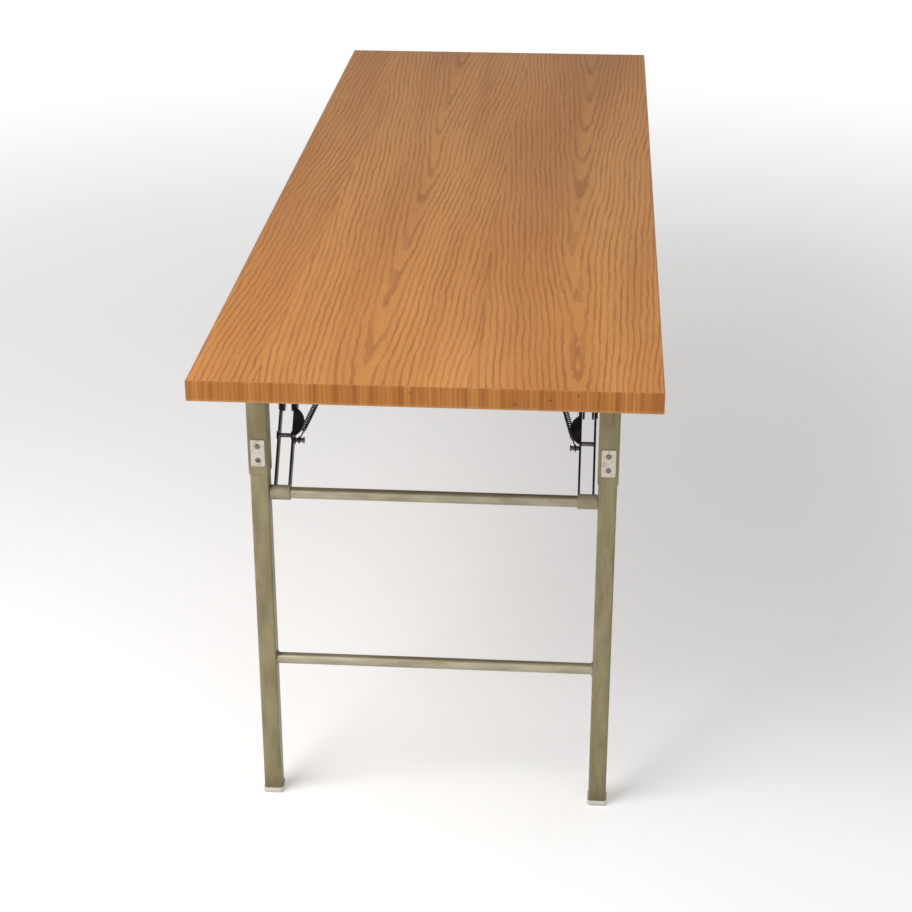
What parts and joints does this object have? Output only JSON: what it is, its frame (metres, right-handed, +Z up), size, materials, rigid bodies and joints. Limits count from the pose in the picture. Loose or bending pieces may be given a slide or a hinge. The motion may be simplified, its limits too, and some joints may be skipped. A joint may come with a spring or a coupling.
{
  "type": "folding banquet table",
  "caption": "Folding banquet table with a wood-grain laminate top on two olive-bronze tube leg frames that fold flat on black toggle stays with springs",
  "frame": {"origin": "on the floor under the centre of the top, at the centre of the bottom of the bounding box", "axes": "+X along the table's length toward end a, +Y across it to the right, +Z up"},
  "size_m": [1.8, 0.6, 0.7],
  "materials": {
    "wood_laminate": "straight-grained orange-brown laminate, satin",
    "wood_edge_band": "wood-grain edge band, satin, with small chips",
    "particle_board": "bare particle board",
    "backing_paper": "matt brown backing sheet",
    "bronze_paint": "olive bronze metallic paint, worn",
    "bar_paint": "paler olive paint, scuffed with rust marks",
    "black_paint": "black paint, semi gloss",
    "bright_nickel": "bright nickel plating",
    "dark_rivet_steel": "darkened steel rivet heads",
    "dark_pin_steel": "dull steel pins",
    "zinc_screws": "zinc plated",
    "spring_wire": "black oiled spring wire",
    "pale_plastic": "pale moulded plastic"
  },
  "bodies": {
    "tabletop": {"backing_sheet": "backing_paper", "core_board": "particle_board", "end_edge_bands": "wood_edge_band", "hinge_bracket_a_left": "black_paint", "hinge_bracket_a_right": "black_paint", "hinge_bracket_b_left": "black_paint", "hinge_bracket_b_right": "black_paint", "hinge_bracket_screws": "zinc_screws", "hinge_rivets": "dark_pin_steel", "side_edge_bands": "wood_edge_band", "spring_anchor_a_left": "black_paint", "spring_anchor_a_right": "black_paint", "spring_anchor_b_left": "black_paint", "spring_anchor_b_right": "black_paint", "spring_anchor_screws": "zinc_screws", "stay_bracket_a_left": "black_paint", "stay_bracket_a_right": "black_paint", "stay_bracket_b_left": "black_paint", "stay_bracket_b_right": "black_paint", "stay_bracket_screws": "zinc_screws", "stay_pivot_pins": "dark_pin_steel", "top_laminate": "wood_laminate"},
    "leg_frame_a": {"foot_a_left": "pale_plastic", "foot_a_right": "pale_plastic", "leg_a_left": "bronze_paint", "leg_a_right": "bronze_paint", "leg_sleeve_a_left": "bronze_paint", "leg_sleeve_a_right": "bronze_paint", "lower_bar_a": "bar_paint", "plate_rivets_a": "dark_rivet_steel", "rivet_plates_a": "bright_nickel", "upper_bar_a": "bar_paint"},
    "leg_frame_b": {"foot_b_left": "pale_plastic", "foot_b_right": "pale_plastic", "leg_b_left": "bronze_paint", "leg_b_right": "bronze_paint", "leg_sleeve_b_left": "bronze_paint", "leg_sleeve_b_right": "bronze_paint", "lower_bar_b": "bar_paint", "plate_rivets_b": "dark_rivet_steel", "rivet_plates_b": "bright_nickel", "upper_bar_b": "bar_paint"},
    "upper_stay_link_a_right": {"upper_stay_a_right": "black_paint"},
    "lower_stay_link_a_right": {"lower_stay_a_right": "black_paint", "stay_pins_a_right": "dark_pin_steel"},
    "spring_link_a_right": {"stay_spring_a_right": "spring_wire"},
    "upper_stay_link_a_left": {"upper_stay_a_left": "black_paint"},
    "lower_stay_link_a_left": {"lower_stay_a_left": "black_paint", "stay_pins_a_left": "dark_pin_steel"},
    "spring_link_a_left": {"stay_spring_a_left": "spring_wire"},
    "upper_stay_link_b_right": {"upper_stay_b_right": "black_paint"},
    "lower_stay_link_b_right": {"lower_stay_b_right": "black_paint", "stay_pins_b_right": "dark_pin_steel"},
    "spring_link_b_right": {"stay_spring_b_right": "spring_wire"},
    "upper_stay_link_b_left": {"upper_stay_b_left": "black_paint"},
    "lower_stay_link_b_left": {"lower_stay_b_left": "black_paint", "stay_pins_b_left": "dark_pin_steel"},
    "spring_link_b_left": {"stay_spring_b_left": "spring_wire"}
  },
  "joints": [
    {"name": "leg_fold_a", "type": "hinge", "parent": "tabletop", "child": "leg_frame_a", "pos_m": [0.758, 0, 0.648], "axis": [0, 1, 0], "range_deg": [0, 90]},
    {"name": "leg_fold_b", "type": "hinge", "parent": "tabletop", "child": "leg_frame_b", "pos_m": [-0.758, 0, 0.648], "axis": [0, -1, 0], "range_deg": [0, 90]},
    {"name": "upper_stay_turn_a_right", "type": "hinge", "parent": "tabletop", "child": "upper_stay_link_a_right", "pos_m": [0.615, 0.2062, 0.648], "axis": [0, 1, 0], "range_deg": [-50, 0]},
    {"name": "lower_stay_turn_a_right", "type": "hinge", "parent": "leg_frame_a", "child": "lower_stay_link_a_right", "pos_m": [0.758, 0.2062, 0.48], "axis": [0, 1, 0], "range_deg": [0, 41]},
    {"name": "spring_turn_a_right", "type": "hinge", "parent": "lower_stay_link_a_right", "child": "spring_link_a_right", "pos_m": [0.69881, 0.1899, 0.5318], "axis": [0, 1, 0], "range_deg": [-153, 0], "deforming": ["stay_spring_a_right"]},
    {"name": "upper_stay_turn_a_left", "type": "hinge", "parent": "tabletop", "child": "upper_stay_link_a_left", "pos_m": [0.615, -0.2062, 0.648], "axis": [0, 1, 0], "range_deg": [-50, 0]},
    {"name": "lower_stay_turn_a_left", "type": "hinge", "parent": "leg_frame_a", "child": "lower_stay_link_a_left", "pos_m": [0.758, -0.2062, 0.48], "axis": [0, 1, 0], "range_deg": [0, 41]},
    {"name": "spring_turn_a_left", "type": "hinge", "parent": "lower_stay_link_a_left", "child": "spring_link_a_left", "pos_m": [0.69881, -0.1899, 0.5318], "axis": [0, 1, 0], "range_deg": [-153, 0], "deforming": ["stay_spring_a_left"]},
    {"name": "upper_stay_turn_b_right", "type": "hinge", "parent": "tabletop", "child": "upper_stay_link_b_right", "pos_m": [-0.615, 0.2062, 0.648], "axis": [0, -1, 0], "range_deg": [-50, 0]},
    {"name": "lower_stay_turn_b_right", "type": "hinge", "parent": "leg_frame_b", "child": "lower_stay_link_b_right", "pos_m": [-0.758, 0.2062, 0.48], "axis": [0, -1, 0], "range_deg": [0, 41]},
    {"name": "spring_turn_b_right", "type": "hinge", "parent": "lower_stay_link_b_right", "child": "spring_link_b_right", "pos_m": [-0.69881, 0.1899, 0.5318], "axis": [0, -1, 0], "range_deg": [-153, 0], "deforming": ["stay_spring_b_right"]},
    {"name": "upper_stay_turn_b_left", "type": "hinge", "parent": "tabletop", "child": "upper_stay_link_b_left", "pos_m": [-0.615, -0.2062, 0.648], "axis": [0, -1, 0], "range_deg": [-50, 0]},
    {"name": "lower_stay_turn_b_left", "type": "hinge", "parent": "leg_frame_b", "child": "lower_stay_link_b_left", "pos_m": [-0.758, -0.2062, 0.48], "axis": [0, -1, 0], "range_deg": [0, 41]},
    {"name": "spring_turn_b_left", "type": "hinge", "parent": "lower_stay_link_b_left", "child": "spring_link_b_left", "pos_m": [-0.69881, -0.1899, 0.5318], "axis": [0, -1, 0], "range_deg": [-153, 0], "deforming": ["stay_spring_b_left"]}
  ],
  "couplings": [
    {"joint": "upper_stay_turn_a_right", "follows": "leg_fold_a", "ratio": -0.55107},
    {"joint": "lower_stay_turn_a_right", "follows": "leg_fold_a", "ratio": 0.44893},
    {"joint": "spring_turn_a_right", "follows": "leg_fold_a", "ratio": -1.6912},
    {"joint": "upper_stay_turn_a_left", "follows": "leg_fold_a", "ratio": -0.55107},
    {"joint": "lower_stay_turn_a_left", "follows": "leg_fold_a", "ratio": 0.44893},
    {"joint": "spring_turn_a_left", "follows": "leg_fold_a", "ratio": -1.6912},
    {"joint": "upper_stay_turn_b_right", "follows": "leg_fold_b", "ratio": -0.55107},
    {"joint": "lower_stay_turn_b_right", "follows": "leg_fold_b", "ratio": 0.44893},
    {"joint": "spring_turn_b_right", "follows": "leg_fold_b", "ratio": -1.6912},
    {"joint": "upper_stay_turn_b_left", "follows": "leg_fold_b", "ratio": -0.55107},
    {"joint": "lower_stay_turn_b_left", "follows": "leg_fold_b", "ratio": 0.44893},
    {"joint": "spring_turn_b_left", "follows": "leg_fold_b", "ratio": -1.6912}
  ]
}
